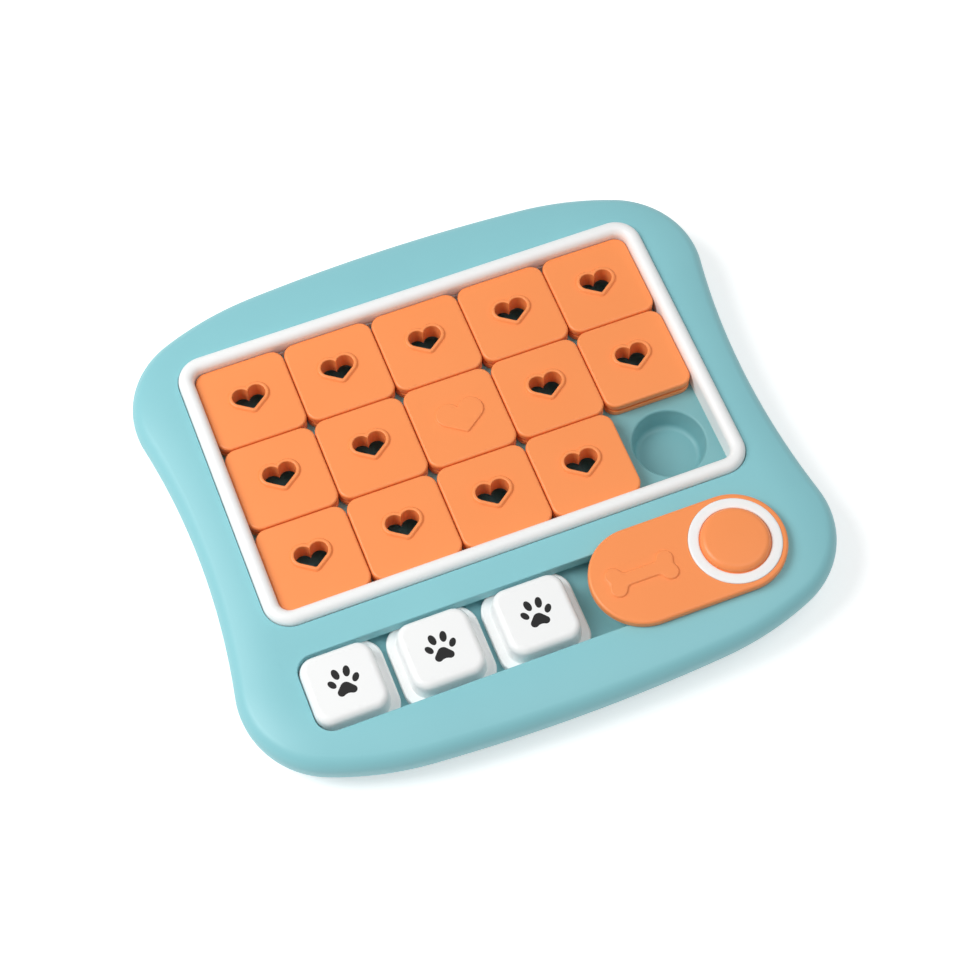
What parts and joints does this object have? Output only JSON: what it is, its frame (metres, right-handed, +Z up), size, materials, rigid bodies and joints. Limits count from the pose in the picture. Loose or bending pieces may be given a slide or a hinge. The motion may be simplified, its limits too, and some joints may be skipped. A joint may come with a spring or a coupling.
{
  "type": "dog puzzle feeder",
  "caption": "Flat dog puzzle feeder with sliding heart tiles over treat bowls, sliding paw keys in a channel and a swivelling lid over the channel's end.",
  "frame": {"origin": "on the ground, below the middle of the housing outline", "axes": "+X to the right along the key channel, +Y towards the back edge behind the tiles, +Z up"},
  "size_m": [0.3096, 0.276, 0.0407],
  "materials": {
    "teal_abs": "satin moulded",
    "orange_abs": "satin moulded",
    "white_abs": "satin moulded",
    "zinc_steel": "zinc plated",
    "foot_rubber": "matt moulded"
  },
  "bodies": {
    "base": {"top_shell": "teal_abs", "bottom_cover": "teal_abs", "bowl_tray": "teal_abs", "tile_frame": "white_abs", "key_track": "teal_abs", "pivot_washer": "zinc_steel", "pivot_screw": "zinc_steel", "cover_screws": "zinc_steel", "rubber_feet": "foot_rubber"},
    "tile_r1c1": {"tile_r1c1": "orange_abs"},
    "tile_r1c2": {"tile_r1c2": "orange_abs"},
    "tile_r1c3": {"tile_r1c3": "orange_abs"},
    "tile_r1c4": {"tile_r1c4": "orange_abs"},
    "tile_r1c5": {"tile_r1c5": "orange_abs"},
    "tile_r2c1": {"tile_r2c1": "orange_abs"},
    "tile_r2c2": {"tile_r2c2": "orange_abs"},
    "tile_r2c3": {"tile_r2c3": "orange_abs"},
    "tile_r2c4": {"tile_r2c4": "orange_abs"},
    "tile_r2c5": {"tile_r2c5": "orange_abs"},
    "tile_r3c1": {"tile_r3c1": "orange_abs"},
    "tile_r3c2": {"tile_r3c2": "orange_abs"},
    "tile_r3c3": {"tile_r3c3": "orange_abs"},
    "tile_r3c4": {"tile_r3c4": "orange_abs"},
    "key_1": {"key_1": "white_abs"},
    "key_2": {"key_2": "white_abs"},
    "key_3": {"key_3": "white_abs"},
    "lid": {"swivel_lid": "orange_abs", "lid_ring": "white_abs", "pivot_cap": "orange_abs"}
  },
  "joints": [
    {"name": "tile_r1c1_slide", "type": "slide", "parent": "base", "child": "tile_r1c1", "axis": [1, 0, 0], "range_m": [-0.0002, 0.0002]},
    {"name": "tile_r1c2_slide", "type": "slide", "parent": "base", "child": "tile_r1c2", "axis": [1, 0, 0], "range_m": [-0.0002, 0.0002]},
    {"name": "tile_r1c3_slide", "type": "slide", "parent": "base", "child": "tile_r1c3", "axis": [1, 0, 0], "range_m": [-0.0002, 0.0002]},
    {"name": "tile_r1c4_slide", "type": "slide", "parent": "base", "child": "tile_r1c4", "axis": [1, 0, 0], "range_m": [-0.0002, 0.0002]},
    {"name": "tile_r1c5_slide", "type": "slide", "parent": "base", "child": "tile_r1c5", "axis": [0, 1, 0], "range_m": [-0.048, 0]},
    {"name": "tile_r2c1_slide", "type": "slide", "parent": "base", "child": "tile_r2c1", "axis": [1, 0, 0], "range_m": [-0.0002, 0.0002]},
    {"name": "tile_r2c2_slide", "type": "slide", "parent": "base", "child": "tile_r2c2", "axis": [1, 0, 0], "range_m": [-0.0002, 0.0002]},
    {"name": "tile_r2c3_slide", "type": "slide", "parent": "base", "child": "tile_r2c3", "axis": [1, 0, 0], "range_m": [-0.0002, 0.0002]},
    {"name": "tile_r2c4_slide", "type": "slide", "parent": "base", "child": "tile_r2c4", "axis": [1, 0, 0], "range_m": [-0.0002, 0.0002]},
    {"name": "tile_r2c5_slide", "type": "slide", "parent": "base", "child": "tile_r2c5", "axis": [0, 1, 0], "range_m": [-0.048, 0]},
    {"name": "tile_r3c1_slide", "type": "slide", "parent": "base", "child": "tile_r3c1", "axis": [1, 0, 0], "range_m": [0, 0.048]},
    {"name": "tile_r3c2_slide", "type": "slide", "parent": "base", "child": "tile_r3c2", "axis": [1, 0, 0], "range_m": [0, 0.048]},
    {"name": "tile_r3c3_slide", "type": "slide", "parent": "base", "child": "tile_r3c3", "axis": [1, 0, 0], "range_m": [0, 0.048]},
    {"name": "tile_r3c4_slide", "type": "slide", "parent": "base", "child": "tile_r3c4", "axis": [1, 0, 0], "range_m": [0, 0.048]},
    {"name": "key_1_slide", "type": "slide", "parent": "base", "child": "key_1", "axis": [1, 0, 0], "range_m": [0, 0.0022]},
    {"name": "key_2_slide", "type": "slide", "parent": "base", "child": "key_2", "axis": [1, 0, 0], "range_m": [-0.0022, 0.0022]},
    {"name": "key_3_slide", "type": "slide", "parent": "base", "child": "key_3", "axis": [1, 0, 0], "range_m": [-0.0022, 0.0105]},
    {"name": "lid_swivel", "type": "hinge", "parent": "base", "child": "lid", "pos_m": [0.1, -0.0888, 0.034], "axis": [0, 0, 1], "range_deg": [-12, 204]}
  ],
  "couplings": [
    {"joint": "tile_r3c1_slide", "follows": "tile_r3c4_slide", "ratio": 1},
    {"joint": "tile_r3c2_slide", "follows": "tile_r3c4_slide", "ratio": 1},
    {"joint": "tile_r3c3_slide", "follows": "tile_r3c4_slide", "ratio": 1},
    {"joint": "tile_r1c5_slide", "follows": "tile_r2c5_slide", "ratio": 1}
  ]
}
